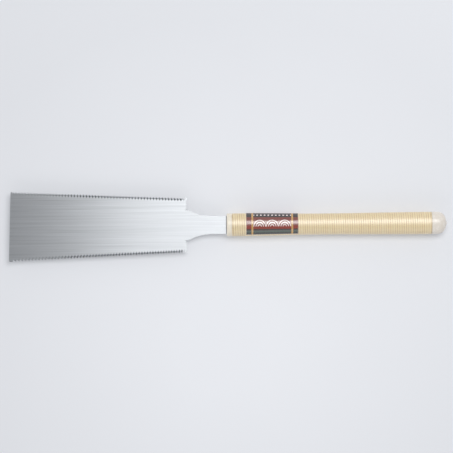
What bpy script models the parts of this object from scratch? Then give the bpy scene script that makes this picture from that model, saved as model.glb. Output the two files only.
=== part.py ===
"""A ryoba saw: a pull saw with crosscut teeth on one edge of its blade and rip teeth on the other.

Metres, +Z up. The origin is on the saw's axis at the mouth of the handle. The handle runs to +X.
The blade runs to -X and lies in the XY plane, its crosscut edge towards +Y and its rip edge towards -Y.
The handle's near side is +Z and its far side, with the lock screw, is -Z.
"""

import math

import bmesh
import bpy
from mathutils import Matrix, Vector

# Blade plate
TOOTHED_LENGTH = 0.2400
TIP_WIDTH = 0.0945
HEEL_WIDTH = 0.0734
TIP_SLANT = 0.0030
TIP_CORNER_RADIUS = 0.0020
BLADE_THICKNESS = 0.0006

# Teeth
CROSSCUT_PITCH = 0.00205
CROSSCUT_DEPTH = 0.0023
CROSSCUT_POINT_SHARE = 0.40
RIP_HEEL_PITCH = 0.0034
RIP_TIP_PITCH = 0.0046
RIP_DEPTH_PER_PITCH = 0.60
RIP_POINT_SHARE = 0.18
PLAIN_EDGE = 0.0025

# Neck and shank
NECK_LENGTH = 0.0540
NECK_ROOT_WIDTH = 0.0424
NECK_WIDTH = 0.0242
NECK_STRAIGHT = 0.0190
RELIEF_RADIUS = 0.0015
SHANK_WIDTH = 0.0200
SHANK_LENGTH = 0.0460
SHANK_CORNER_RADIUS = 0.0025

# Handle, over the cane
HANDLE_LENGTH = 0.2965
FRONT_WIDTH = 0.0310
WAIST_WIDTH = 0.0286
WAIST_PLACE = 0.1250
BUTT_WIDTH = 0.0302
OVAL_RATIO = 0.83

# Caps
FRONT_CAP_LENGTH = 0.0070
FRONT_CAP_STEP = 0.0002
FRONT_CAP_EDGE = 0.0012
FRONT_WALL = 0.0012
CAP_WALL = 0.0018
BUTT_CAP_LENGTH = 0.0205
BUTT_CORNER_RADIUS = 0.0115
BUTT_CROWN = 0.0012

# Cane winding
CANE_LENGTHS = 4
CANE_TURNS = 22
CANE_FLATS = 12
CANE_THICKNESS = 0.0012
CANE_GAP = 0.0005
CANE_EDGE = 0.0004

# Label
LABEL_START = 0.0260
LABEL_LENGTH = 0.0700
LABEL_SHEET = 0.00025
LABEL_EDGE_ANGLE = math.radians(60)
LABEL_WRAP_ANGLE = math.radians(250)

# Blade holder and its rivets
HOLDER_SHEET = 0.0010
HOLDER_OVERHANG = 0.0003
RIVET_RADIUS = 0.0015
RIVET_HEAD_RADIUS = 0.0026
RIVET_HEAD_HEIGHT = 0.0010
RIVET_SPACING = 0.0110
RIVET_SETBACK = 0.0050
RIVET_SINK = 0.0003
HOLDER_TAIL = 0.0060

# Lock screw, washer and nut
SCREW_RADIUS = 0.0015
SCREW_HEAD_RADIUS = 0.0025
SCREW_HEAD_HEIGHT = 0.0018
DRIVE_SLOT_WIDTH = 0.0008
DRIVE_SLOT_DEPTH = 0.0009
WASHER_RADIUS = 0.0025
WASHER_THICKNESS = 0.0005
NUT_SIDE = 0.0055
NUT_THICKNESS = 0.0018
ACCESS_RADIUS = 0.0019

# Fits
FIT_GAP = 0.0003
BLADE_CLEARANCE = 0.00015
THREAD_CLEARANCE = 0.0001

# Mesh fineness
TURN_STEPS = 32
ROD_STEPS = 24
ARC_STEPS = 6
NECK_STEPS = 12
WAIST_STATIONS = 9
LABEL_STATIONS = 5
LABEL_STEPS = 36
MERGE = 0.000001
SHARP_ANGLE = math.radians(35)

# Places that follow from the sizes above
HEEL_X = -NECK_LENGTH
TIP_X = HEEL_X - TOOTHED_LENGTH
SHOULDER_X = FRONT_WALL
NOSE_X = FRONT_WALL + FIT_GAP
CANE_START = FRONT_CAP_LENGTH + FIT_GAP
BUTT_START = HANDLE_LENGTH - BUTT_CAP_LENGTH
CANE_END = BUTT_START - FIT_GAP
FRONT_CAP_RADIUS = FRONT_WIDTH / 2 - FRONT_CAP_STEP
FRONT_CAP_BORE = FRONT_CAP_RADIUS - CAP_WALL
BUTT_CAP_BORE = BUTT_WIDTH / 2 - CAP_WALL
BUTT_CORNER_X = HANDLE_LENGTH - BUTT_CROWN - BUTT_CORNER_RADIUS
CHEEK_IN = BLADE_THICKNESS / 2 + BLADE_CLEARANCE
CHEEK_OUT = CHEEK_IN + HOLDER_SHEET
HOLDER_WIDTH = SHANK_WIDTH + 2 * HOLDER_OVERHANG
SHANK_END = SHOULDER_X + SHANK_LENGTH
RIVET_X = SHANK_END + RIVET_SETBACK
HOLDER_END = RIVET_X + HOLDER_TAIL
HALF_HEAD_POCKET = max(SCREW_HEAD_RADIUS, WASHER_RADIUS) + FIT_GAP
LOCK_X = NOSE_X + max(SCREW_HEAD_RADIUS, WASHER_RADIUS, NUT_SIDE / 2)
WASHER_Z = CHEEK_OUT + FIT_GAP
HEAD_Z = WASHER_Z + WASHER_THICKNESS + FIT_GAP
NUT_Z = CHEEK_OUT + FIT_GAP
CANE_PITCH = (CANE_END - CANE_START + CANE_GAP) / (CANE_LENGTHS * CANE_TURNS + 1)
CANE_WIDTH = CANE_PITCH - CANE_GAP
BEYOND = FRONT_WIDTH + BUTT_WIDTH


def handle_radius(x):
    """Half the handle's width over the cane at x: a smooth waist between its two ends."""
    if x < WAIST_PLACE:
        end_width = FRONT_WIDTH
        share = (WAIST_PLACE - x) / (WAIST_PLACE - CANE_START)
    else:
        end_width = BUTT_WIDTH
        share = (x - WAIST_PLACE) / (CANE_END - WAIST_PLACE)
    share = min(share, 1.0)
    ease = share * share * (3 - 2 * share)
    return (WAIST_WIDTH + (end_width - WAIST_WIDTH) * ease) / 2


def core_radius(x):
    """The wooden core's radius at x, which clears the flats of the cane's straight chords."""
    return (handle_radius(x) - CANE_THICKNESS) * math.cos(math.pi / CANE_FLATS) - FIT_GAP


def stations(start, end, count):
    """Evenly spaced places from start to end."""
    return [start + (end - start) * i / (count - 1) for i in range(count)]


def arc(centre, radius, start, end, steps):
    """Points on an arc in the plane, with its angles in radians."""
    angles = stations(start, end, steps + 1)
    return [(centre[0] + radius * math.cos(a), centre[1] + radius * math.sin(a)) for a in angles]


def fillet(before, corner, after, radius):
    """The rounded corner between two straight edges, as points."""
    corner = Vector(corner)
    back = (Vector(before) - corner).normalized()
    on = (Vector(after) - corner).normalized()
    half = back.angle(on) / 2
    centre = corner + (back + on).normalized() * radius / math.sin(half)
    first = corner + back * radius / math.tan(half) - centre
    last = corner + on * radius / math.tan(half) - centre
    turn = math.atan2(first.x * last.y - first.y * last.x, first.dot(last))
    start = math.atan2(first.y, first.x)
    return arc(centre, radius, start, start + turn, ARC_STEPS)


def collection(name):
    made = bpy.data.collections.new(name)
    bpy.context.scene.collection.children.link(made)
    return made


def finish(name, colour, roughness, metallic=0.0):
    """A plain surface finish."""
    made = bpy.data.materials.new(name)
    made.use_nodes = True
    shader = made.node_tree.nodes["Principled BSDF"]
    shader.inputs["Base Color"].default_value = (*colour, 1.0)
    shader.inputs["Roughness"].default_value = roughness
    shader.inputs["Metallic"].default_value = metallic
    return made


def add_piece(name, mesh, material):
    """A named sub-part in the saw's collection."""
    piece = bpy.data.objects.new(name, mesh)
    bpy.data.collections["ryoba_saw"].objects.link(piece)
    mesh.materials.clear()
    mesh.materials.append(material)
    mesh.shade_smooth()
    mesh.set_sharp_from_angle(angle=SHARP_ANGLE)
    return piece


def add_cutter(name, mesh):
    """A shape that only cuts others."""
    cutter = bpy.data.objects.new(name, mesh)
    bpy.data.collections["ryoba_saw_cutters"].objects.link(cutter)
    cutter.hide_render = True
    cutter.display_type = "WIRE"
    return cutter


def cut(piece, *cutters):
    """Takes the cutters' shapes out of a piece."""
    for cutter in cutters:
        boolean = piece.modifiers.new(cutter.name, "BOOLEAN")
        boolean.operation = "DIFFERENCE"
        boolean.solver = "EXACT"
        boolean.object = cutter


def closed_mesh(source):
    """An object's evaluated mesh with its seams welded and its faces pointing out. The object goes."""
    scene_state = bpy.context.evaluated_depsgraph_get()
    mesh = bpy.data.meshes.new_from_object(source.evaluated_get(scene_state))
    shape = bmesh.new()
    shape.from_mesh(mesh)
    bmesh.ops.remove_doubles(shape, verts=shape.verts, dist=MERGE)
    bmesh.ops.recalc_face_normals(shape, faces=shape.faces)
    shape.to_mesh(mesh)
    shape.free()
    bpy.data.objects.remove(source)
    return mesh


def turned_mesh(name, profile, axis, steps=TURN_STEPS, sweep=math.tau, start=0.0, sheet=0.0):
    """A profile of (place along the axis, radius) points turned about X or Z.

    About X it turns from the start angle and is flattened to the handle's oval.
    A sheet is a part turn with a thickness.
    """
    if axis == "X":
        points = [(along, 0.0, radius) for along, radius in profile]
    else:
        points = [(radius, 0.0, along) for along, radius in profile]
    line = bpy.data.meshes.new(name)
    line.from_pydata(points, [(i, i + 1) for i in range(len(points) - 1)], [])
    source = bpy.data.objects.new(name, line)
    bpy.context.scene.collection.objects.link(source)
    screw = source.modifiers.new("turn", "SCREW")
    screw.axis = axis
    screw.angle = sweep
    screw.steps = steps
    screw.render_steps = steps
    screw.use_merge_vertices = True
    screw.merge_threshold = MERGE
    if sheet:
        wall = source.modifiers.new("sheet", "SOLIDIFY")
        wall.thickness = sheet
        wall.offset = 0.0
    mesh = closed_mesh(source)
    if axis == "X":
        mesh.transform(Matrix.Diagonal((1.0, 1.0, OVAL_RATIO, 1.0)) @ Matrix.Rotation(start, 4, "X"))
    return mesh


def plate_mesh(name, outline, thickness):
    """A flat outline in X and Y, thickened evenly about Z = 0."""
    curve = bpy.data.curves.new(name, "CURVE")
    curve.dimensions = "2D"
    curve.fill_mode = "BOTH"
    curve.extrude = thickness / 2
    spline = curve.splines.new("POLY")
    spline.points.add(len(outline) - 1)
    for point, (x, y) in zip(spline.points, outline):
        point.co = (x, y, 0.0, 1.0)
    spline.use_cyclic_u = True
    source = bpy.data.objects.new(name, curve)
    bpy.context.scene.collection.objects.link(source)
    return closed_mesh(source)


def box_mesh(name, low, high):
    """A box between two corners."""
    low = Vector(low)
    high = Vector(high)
    shape = bmesh.new()
    place = Matrix.Translation((low + high) / 2) @ Matrix.Diagonal((*(high - low), 1.0))
    bmesh.ops.create_cube(shape, size=1.0, matrix=place)
    mesh = bpy.data.meshes.new(name)
    shape.to_mesh(mesh)
    shape.free()
    return mesh


def rod_mesh(name, x, y, radius, low, high):
    """A round bar that stands along Z at x, y."""
    shape = bmesh.new()
    place = Matrix.Translation((x, y, (low + high) / 2))
    bmesh.ops.create_cone(
        shape,
        cap_ends=True,
        segments=ROD_STEPS,
        radius1=radius,
        radius2=radius,
        depth=high - low,
        matrix=place,
    )
    mesh = bpy.data.meshes.new(name)
    shape.to_mesh(mesh)
    shape.free()
    return mesh


def toothed_edge(heel, tip, pitches, depths, point_share):
    """An edge from heel to tip as points: each tooth falls to a gullet and rises to its point.

    The steep side of a tooth faces the handle, because the saw cuts on the pull.
    """
    heel = Vector(heel)
    along = (Vector(tip) - heel).normalized()
    inward = Vector((along.y, -along.x))
    if inward.y * heel.y > 0:
        inward = -inward
    place = PLAIN_EDGE
    points = [heel, heel + along * place]
    for pitch, depth in zip(pitches, depths):
        points.append(heel + along * place + inward * depth)
        points.append(heel + along * (place + pitch * point_share))
        place += pitch
    points.append(heel + along * place + inward * depths[-1])
    points.append(heel + along * (place + pitches[-1] * point_share))
    return [tuple(point) for point in points]


def crosscut_edge(heel, tip):
    room = (Vector(tip) - Vector(heel)).length - 2 * PLAIN_EDGE
    count = int(room / CROSSCUT_PITCH)
    pitches = [CROSSCUT_PITCH] * count
    depths = [CROSSCUT_DEPTH] * count
    return toothed_edge(heel, tip, pitches, depths, CROSSCUT_POINT_SHARE)


def rip_edge(heel, tip):
    """Rip teeth grow steadily from the heel to the tip."""
    room = (Vector(tip) - Vector(heel)).length - 2 * PLAIN_EDGE
    count = int(room * 2 / (RIP_HEEL_PITCH + RIP_TIP_PITCH))
    pitches = stations(RIP_HEEL_PITCH, RIP_TIP_PITCH, count)
    depths = [pitch * RIP_DEPTH_PER_PITCH for pitch in pitches]
    return toothed_edge(heel, tip, pitches, depths, RIP_POINT_SHARE)


def neck_edge():
    """The upper side of the neck and shank, from the heel to the inner end of the shank's fork."""
    half_root = NECK_ROOT_WIDTH / 2
    half_neck = NECK_WIDTH / 2
    half_shank = SHANK_WIDTH / 2
    fork = SCREW_RADIUS + FIT_GAP
    run = NECK_LENGTH - NECK_STRAIGHT
    drop = half_root - half_neck
    radius = (run * run + drop * drop) / (2 * drop)
    swing = math.asin(run / radius)
    relief = arc((HEEL_X, half_root), RELIEF_RADIUS, math.pi / 2, 2 * math.pi - swing, ARC_STEPS)
    inner_swing = math.asin((run - RELIEF_RADIUS * math.cos(swing)) / radius)
    centre = (-NECK_STRAIGHT, half_neck + radius)
    curve = arc(centre, radius, -math.pi / 2 - inner_swing, -math.pi / 2, NECK_STEPS)
    shank_corner = (SHANK_END, half_shank)
    points = relief + curve[1:]
    points += [(SHOULDER_X, half_neck), (SHOULDER_X, half_shank)]
    points += fillet((SHOULDER_X, half_shank), shank_corner, (SHANK_END, fork), SHANK_CORNER_RADIUS)
    points += [(SHANK_END, fork)]
    points += arc((LOCK_X, 0.0), fork, math.pi / 2, math.pi, ARC_STEPS)
    return points


def mirrored(points):
    """The same points on the other side of the saw's axis."""
    return [(x, -y) for x, y in points]


def blade(material):
    heel = (HEEL_X, HEEL_WIDTH / 2)
    crosscut_tip = (TIP_X + TIP_SLANT, TIP_WIDTH / 2)
    rip_tip = (TIP_X, -TIP_WIDTH / 2)
    upper = crosscut_edge(heel, crosscut_tip)
    upper += fillet(heel, crosscut_tip, rip_tip, TIP_CORNER_RADIUS)
    lower = rip_edge(mirrored([heel])[0], rip_tip)
    lower += fillet(mirrored([heel])[0], rip_tip, crosscut_tip, TIP_CORNER_RADIUS)
    root = neck_edge()
    outline = upper + lower[::-1] + mirrored(root) + root[-2::-1]
    add_piece("blade", plate_mesh("blade", outline, BLADE_THICKNESS), material)


def front_cap(material):
    edge_centre = (FRONT_CAP_EDGE, FRONT_CAP_RADIUS - FRONT_CAP_EDGE)
    profile = [(0.0, 0.0)] + arc(edge_centre, FRONT_CAP_EDGE, math.pi, math.pi / 2, ARC_STEPS)
    profile += [(FRONT_CAP_LENGTH, FRONT_CAP_RADIUS), (FRONT_CAP_LENGTH, FRONT_CAP_BORE)]
    profile += [(FRONT_WALL, FRONT_CAP_BORE), (FRONT_WALL, 0.0)]
    piece = add_piece("front_cap", turned_mesh("front_cap", profile, "X"), material)
    half_slot = NECK_WIDTH / 2 + FIT_GAP
    half_gap = BLADE_THICKNESS / 2 + FIT_GAP
    slot = box_mesh(
        "blade_slot", (-FRONT_WALL, -half_slot, -half_gap), (NOSE_X, half_slot, half_gap)
    )
    access = rod_mesh("driver_access", LOCK_X, 0.0, ACCESS_RADIUS, -BEYOND, 0.0)
    cut(piece, add_cutter("blade_slot", slot), add_cutter("driver_access", access))


def butt_cap(material):
    """A domed cap: its bore keeps the wall's thickness all round the corner."""
    radius = BUTT_WIDTH / 2
    centre = (BUTT_CORNER_X, radius - BUTT_CORNER_RADIUS)
    crown_radius = (centre[1] ** 2 + BUTT_CROWN**2) / (2 * BUTT_CROWN)
    crown_swing = math.asin(centre[1] / crown_radius)
    crown = arc((HANDLE_LENGTH - crown_radius, 0.0), crown_radius, 0.0, crown_swing, ARC_STEPS)
    outer = arc(centre, BUTT_CORNER_RADIUS, 0.0, math.pi / 2, ARC_STEPS)
    inner = arc(centre, BUTT_CORNER_RADIUS - CAP_WALL, math.pi / 2, 0.0, ARC_STEPS)
    profile = crown[:-1] + outer
    profile += [(BUTT_START, radius), (BUTT_START, BUTT_CAP_BORE)]
    profile += inner + [(inner[-1][0], 0.0)]
    add_piece("butt_cap", turned_mesh("butt_cap", profile, "X"), material)


def rivet_half_length():
    """Half a rivet's length, with its heads just under the core's oval surface."""
    edge = RIVET_SPACING / 2 + RIVET_HEAD_RADIUS
    return OVAL_RATIO * math.sqrt(core_radius(RIVET_X) ** 2 - edge**2) - RIVET_SINK


def rivet_profile(grow, reach):
    """A rivet from head to head. Grown, and with its heads drawn out by reach, it is its own cutter."""
    half = rivet_half_length()
    under = half - RIVET_HEAD_HEIGHT - grow
    shaft = RIVET_RADIUS + grow
    head = RIVET_HEAD_RADIUS + grow
    upper = [(half + reach, 0.0), (half + reach, head), (under, head), (under, shaft)]
    return upper + [(-along, radius) for along, radius in upper[::-1]]


def rivets(material):
    for number, side in ((1, 1), (2, -1)):
        name = f"holder_rivet_{number}"
        mesh = turned_mesh(name, rivet_profile(0.0, 0.0), "Z", ROD_STEPS)
        piece = add_piece(name, mesh, material)
        piece.location = (RIVET_X, side * RIVET_SPACING / 2, 0.0)


def rivet_cutters():
    cutters = []
    for side in (1, -1):
        mesh = turned_mesh("rivet_way", rivet_profile(FIT_GAP, BEYOND), "Z", ROD_STEPS)
        cutter = add_cutter("rivet_way", mesh)
        cutter.location = (RIVET_X, side * RIVET_SPACING / 2, 0.0)
        cutters.append(cutter)
    return cutters


def blade_holder(material):
    """A steel strip folded back on itself. Its two cheeks lie either side of the shank."""
    fold_x = HOLDER_END - CHEEK_OUT
    quarter = math.pi / 2
    outline = [(NOSE_X, -CHEEK_OUT)]
    outline += arc((fold_x, 0.0), CHEEK_OUT, -quarter, quarter, 2 * ARC_STEPS)
    outline += [(NOSE_X, CHEEK_OUT), (NOSE_X, CHEEK_IN)]
    outline += arc((fold_x, 0.0), CHEEK_IN, quarter, -quarter, 2 * ARC_STEPS)
    outline += [(NOSE_X, -CHEEK_IN)]
    mesh = plate_mesh("blade_holder", outline, HOLDER_WIDTH)
    mesh.transform(Matrix.Rotation(quarter, 4, "X"))
    piece = add_piece("blade_holder", mesh, material)
    screw_way = rod_mesh("screw_way", LOCK_X, 0.0, SCREW_RADIUS + FIT_GAP, -BEYOND, BEYOND)
    cut(piece, add_cutter("screw_way", screw_way))
    for side in (1, -1):
        way = rod_mesh(
            "cheek_rivet_way",
            RIVET_X,
            side * RIVET_SPACING / 2,
            RIVET_RADIUS + FIT_GAP,
            -BEYOND,
            BEYOND,
        )
        cut(piece, add_cutter("cheek_rivet_way", way))


def core_profile():
    """The whole core as a profile: a nose in the front cap, the waisted grip and a tail in the butt cap."""
    nose = FRONT_CAP_BORE - FIT_GAP
    tail = BUTT_CAP_BORE - FIT_GAP
    grip = [(x, core_radius(x)) for x in stations(CANE_START, CANE_END, WAIST_STATIONS)]
    profile = [(NOSE_X, 0.0), (NOSE_X, nose), (CANE_START, nose)]
    profile += grip
    profile += [(CANE_END, tail), (BUTT_CORNER_X, tail), (BUTT_CORNER_X, 0.0)]
    return profile


def core_halves(material):
    """The core is two halves that meet on the blade's plane, hollowed for the holder and its fasteners."""
    half_joint = FIT_GAP / 2
    half_recess = HOLDER_WIDTH / 2 + FIT_GAP
    recess_depth = CHEEK_OUT + FIT_GAP
    recess = box_mesh(
        "holder_recess",
        (-BEYOND, -half_recess, -recess_depth),
        (HOLDER_END + FIT_GAP, half_recess, recess_depth),
    )
    recess_cutter = add_cutter("holder_recess", recess)
    rivet_ways = rivet_cutters()
    far_side = box_mesh(
        "far_side", (-BEYOND, -BEYOND, -BEYOND), (HANDLE_LENGTH, BEYOND, half_joint)
    )
    near_side = box_mesh(
        "near_side", (-BEYOND, -BEYOND, -half_joint), (HANDLE_LENGTH, BEYOND, BEYOND)
    )
    half_nut = NUT_SIDE / 2 + FIT_GAP
    nut_pocket = box_mesh(
        "nut_pocket",
        (-BEYOND, -half_nut, 0.0),
        (LOCK_X + half_nut, half_nut, NUT_Z + NUT_THICKNESS + FIT_GAP),
    )
    head_pocket = box_mesh(
        "head_pocket",
        (-BEYOND, -HALF_HEAD_POCKET, -BEYOND),
        (LOCK_X + HALF_HEAD_POCKET, HALF_HEAD_POCKET, 0.0),
    )
    near = add_piece("core_near_half", turned_mesh("core_near_half", core_profile(), "X"), material)
    cut(near, add_cutter("far_side", far_side), recess_cutter, *rivet_ways)
    cut(near, add_cutter("nut_pocket", nut_pocket))
    far = add_piece("core_far_half", turned_mesh("core_far_half", core_profile(), "X"), material)
    cut(far, add_cutter("near_side", near_side), recess_cutter, *rivet_ways)
    cut(far, add_cutter("head_pocket", head_pocket))


def lock_parts(screw_material, washer_material, nut_material):
    """The clamp at the mouth. The head bears on the far cheek, and the nut on the near one."""
    axis = bpy.data.objects.new("lock_axis", None)
    bpy.data.collections["ryoba_saw"].objects.link(axis)
    axis.location = (LOCK_X, 0.0, 0.0)

    head_end = HEAD_Z + SCREW_HEAD_HEIGHT
    tip_z = NUT_Z + NUT_THICKNESS
    profile = [(tip_z, 0.0), (tip_z, SCREW_RADIUS), (-HEAD_Z, SCREW_RADIUS)]
    profile += [(-HEAD_Z, SCREW_HEAD_RADIUS), (-head_end, SCREW_HEAD_RADIUS), (-head_end, 0.0)]
    screw_mesh = turned_mesh("lock_screw", profile, "Z", ROD_STEPS)
    screw = add_piece("lock_screw", screw_mesh, screw_material)
    screw.parent = axis
    half_slot = DRIVE_SLOT_WIDTH / 2
    slot = box_mesh(
        "drive_slot",
        (-HALF_HEAD_POCKET, -half_slot, -BEYOND),
        (HALF_HEAD_POCKET, half_slot, DRIVE_SLOT_DEPTH - head_end),
    )
    slot_cutter = add_cutter("drive_slot", slot)
    slot_cutter.parent = axis
    cut(screw, slot_cutter)

    bore = SCREW_RADIUS + THREAD_CLEARANCE
    washer_end = WASHER_Z + WASHER_THICKNESS
    ring = [(-WASHER_Z, bore), (-WASHER_Z, WASHER_RADIUS), (-washer_end, WASHER_RADIUS)]
    ring += [(-washer_end, bore), (-WASHER_Z, bore)]
    washer_mesh = turned_mesh("lock_washer", ring, "Z", ROD_STEPS)
    washer = add_piece("lock_washer", washer_mesh, washer_material)
    washer.parent = axis

    half_nut = NUT_SIDE / 2
    nut_mesh = box_mesh(
        "lock_nut", (-half_nut, -half_nut, NUT_Z), (half_nut, half_nut, NUT_Z + NUT_THICKNESS)
    )
    nut = add_piece("lock_nut", nut_mesh, nut_material)
    nut.parent = axis
    bore_cutter = add_cutter("nut_bore", rod_mesh("nut_bore", 0.0, 0.0, bore, 0.0, BEYOND))
    bore_cutter.parent = axis
    cut(nut, bore_cutter)


def cane_place(turn, across, lift):
    """A point of the cane: turns along the winding, across the strip, and above its underside."""
    x = CANE_START + CANE_WIDTH / 2 + turn * CANE_PITCH + across
    radius = handle_radius(x) - CANE_THICKNESS + lift
    angle = math.tau * turn
    return Vector((x, radius * math.sin(angle), -radius * math.cos(angle) * OVAL_RATIO))


def least_cane_gap(first_turn, last_turn):
    """The least space between neighbouring turns of one length, measured between their facing edges."""
    step = 1 / CANE_FLATS
    least = math.inf
    for i in range(int((last_turn - first_turn - 1) * CANE_FLATS)):
        turn = first_turn + i * step
        edge = cane_place(turn, CANE_WIDTH / 2, 0.0)
        for shift in (-step, 0.0, step):
            facing = cane_place(turn + 1 + shift, -CANE_WIDTH / 2, 0.0)
            least = min(least, (facing - edge).length)
    return least


def cane_length(number, material):
    """One length of cane: its section is spun along the winding, then laid on the waisted oval."""
    end_gap = CANE_GAP / (math.pi * WAIST_WIDTH)
    first_turn = (number - 1) * CANE_TURNS + end_gap / 2
    last_turn = number * CANE_TURNS - end_gap / 2
    steps = CANE_TURNS * CANE_FLATS
    half = CANE_WIDTH / 2
    half_top = half - CANE_EDGE
    section = [(-half, 0.0), (half, 0.0), (half_top, CANE_THICKNESS), (-half_top, CANE_THICKNESS)]
    # The strip is spun round a plain drum first, with x counted from the winding's first turn.
    drum = WAIST_WIDTH
    shape = bmesh.new()
    start = Matrix.Rotation(math.tau * first_turn, 3, "X")
    corners = []
    for across, lift in section:
        corner = start @ Vector((0.0, 0.0, -drum - lift))
        corner.x = first_turn * CANE_PITCH + across
        corners.append(shape.verts.new(corner))
    bmesh.ops.spin(
        shape,
        geom=[shape.faces.new(corners)],
        axis=(1.0, 0.0, 0.0),
        dvec=((last_turn - first_turn) * CANE_PITCH / steps, 0.0, 0.0),
        angle=math.tau * (last_turn - first_turn),
        steps=steps,
    )
    for vert in shape.verts:
        x = CANE_START + half + vert.co.x
        reach = math.hypot(vert.co.y, vert.co.z)
        radius = handle_radius(x) - CANE_THICKNESS + reach - drum
        vert.co = (x, vert.co.y / reach * radius, vert.co.z / reach * radius * OVAL_RATIO)
    bmesh.ops.recalc_face_normals(shape, faces=shape.faces)
    name = f"cane_length_{number}"
    mesh = bpy.data.meshes.new(name)
    shape.to_mesh(mesh)
    shape.free()
    add_piece(name, mesh, material)
    gap = least_cane_gap(first_turn, last_turn)
    print(f"{name}: {CANE_TURNS} turns, least gap to itself {gap * 1000:.2f} mm")


def label(material):
    """A paper band stuck on the cane. Its free edge is on the near side, towards the rip teeth."""
    places = stations(LABEL_START, LABEL_START + LABEL_LENGTH, LABEL_STATIONS)
    profile = [(x, handle_radius(x) + FIT_GAP + LABEL_SHEET / 2) for x in places]
    start = LABEL_EDGE_ANGLE - LABEL_WRAP_ANGLE
    mesh = turned_mesh("label", profile, "X", LABEL_STEPS, LABEL_WRAP_ANGLE, start, LABEL_SHEET)
    add_piece("label", mesh, material)


def main():
    for old in list(bpy.data.objects):
        bpy.data.objects.remove(old)
    collection("ryoba_saw")
    collection("ryoba_saw_cutters")
    steel = finish("saw_steel", (0.55, 0.57, 0.59), 0.28, 1.0)
    wood = finish("core_wood", (0.60, 0.42, 0.24), 0.7)
    plated = finish("plated_steel", (0.50, 0.50, 0.50), 0.35, 1.0)
    brass = finish("brass", (0.66, 0.48, 0.20), 0.3, 1.0)
    spring = finish("spring_steel", (0.30, 0.30, 0.32), 0.4, 1.0)
    cream = finish("cream_plastic", (0.80, 0.73, 0.58), 0.35)
    white = finish("white_plastic", (0.80, 0.76, 0.70), 0.2)
    cane = finish("cane", (0.68, 0.52, 0.28), 0.4)
    paper = finish("printed_paper", (0.30, 0.07, 0.05), 0.3)
    blade(steel)
    blade_holder(spring)
    rivets(brass)
    core_halves(wood)
    lock_parts(plated, plated, plated)
    front_cap(cream)
    for number in range(1, CANE_LENGTHS + 1):
        cane_length(number, cane)
    label(paper)
    butt_cap(white)


main()
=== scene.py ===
# The looks of a ryoba saw: brushed steel, lacquered cane, moulded caps and a printed paper label.
# Metres, in the frame's axes: the handle runs to +X, the blade to -X, and the near side is +Z.
import math

import bmesh
import bpy
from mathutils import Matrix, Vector


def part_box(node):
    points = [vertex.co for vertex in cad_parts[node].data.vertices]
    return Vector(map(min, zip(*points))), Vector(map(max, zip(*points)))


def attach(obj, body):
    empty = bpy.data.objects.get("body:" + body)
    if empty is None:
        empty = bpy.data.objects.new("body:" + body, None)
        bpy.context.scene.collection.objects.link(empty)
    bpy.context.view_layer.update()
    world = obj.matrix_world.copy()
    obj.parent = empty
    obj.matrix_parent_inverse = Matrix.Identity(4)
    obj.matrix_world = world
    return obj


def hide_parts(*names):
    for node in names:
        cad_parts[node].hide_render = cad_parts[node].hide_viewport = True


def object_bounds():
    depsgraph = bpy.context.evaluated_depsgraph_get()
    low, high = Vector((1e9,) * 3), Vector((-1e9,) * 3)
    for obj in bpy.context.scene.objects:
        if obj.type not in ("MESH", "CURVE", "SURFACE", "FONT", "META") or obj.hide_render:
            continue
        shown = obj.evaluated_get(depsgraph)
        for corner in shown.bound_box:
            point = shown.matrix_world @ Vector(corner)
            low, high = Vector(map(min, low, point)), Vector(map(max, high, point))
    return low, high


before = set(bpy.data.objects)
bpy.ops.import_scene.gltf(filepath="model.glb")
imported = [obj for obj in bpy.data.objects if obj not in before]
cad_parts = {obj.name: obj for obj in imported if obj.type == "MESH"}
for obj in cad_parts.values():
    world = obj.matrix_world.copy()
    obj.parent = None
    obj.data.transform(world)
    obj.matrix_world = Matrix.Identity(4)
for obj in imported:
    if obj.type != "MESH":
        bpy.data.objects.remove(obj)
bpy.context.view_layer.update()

MM = 0.001
MERGE = 0.001 * MM
QUARTER = math.pi / 2
SHARP = math.radians(40)

# Places read from the frame
CAP_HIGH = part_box("front_cap")[1]
BUTT_LOW, BUTT_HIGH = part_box("butt_cap")
LABEL_LOW, LABEL_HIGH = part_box("label")
CANE_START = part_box("cane_length_1")[0].x
CANE_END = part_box("cane_length_4")[1].x
BLADE_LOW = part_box("blade")[0]
SCREW_LOW, SCREW_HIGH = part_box("lock_screw")
OVAL = CAP_HIGH.z / CAP_HIGH.y

# Handle, over the cane
FRONT_WIDTH = 31.0 * MM
WAIST_WIDTH = 28.6 * MM
WAIST_PLACE = 125.0 * MM
BUTT_WIDTH = 30.2 * MM

# Blade
HEEL_X = -54.0 * MM
HEEL_WIDTH = 73.4 * MM
TIP_WIDTH = 94.5 * MM
TIP_SLANT = 3.0 * MM
PLAIN_EDGE = 2.6 * MM
ON_THE_LINE = 0.06 * MM
SAME_PLANE = math.radians(0.5)
FLAT_FACE = 0.97

# Teeth: their depth, their set to either side, and the share of the depth that the file takes
CROSSCUT_DEPTH = 2.3 * MM
RIP_HEEL_DEPTH = 2.04 * MM
RIP_TIP_DEPTH = 2.78 * MM
TOOTH_SET = 0.16 * MM
CROSSCUT_FILED = 0.92
RIP_FILED = 0.5

# Caps
CAP_SIDES = 96
CAP_WALL = 1.8 * MM
FRONT_WALL = 1.2 * MM
FRONT_EDGE = 1.2 * MM
FRONT_EDGE_STEPS = 8
BUTT_CORNER = 11.5 * MM
BUTT_CORNER_STEPS = 16
BUTT_CROWN = 1.2 * MM
BUTT_CROWN_STEPS = 6
RIM_ROUND = 0.25 * MM
RIM_STEPS = 4
BLADE_SLOT_WIDTH = 24.8 * MM
BLADE_SLOT_HEIGHT = 1.2 * MM
DRIVER_HOLE_RADIUS = 1.9 * MM

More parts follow.
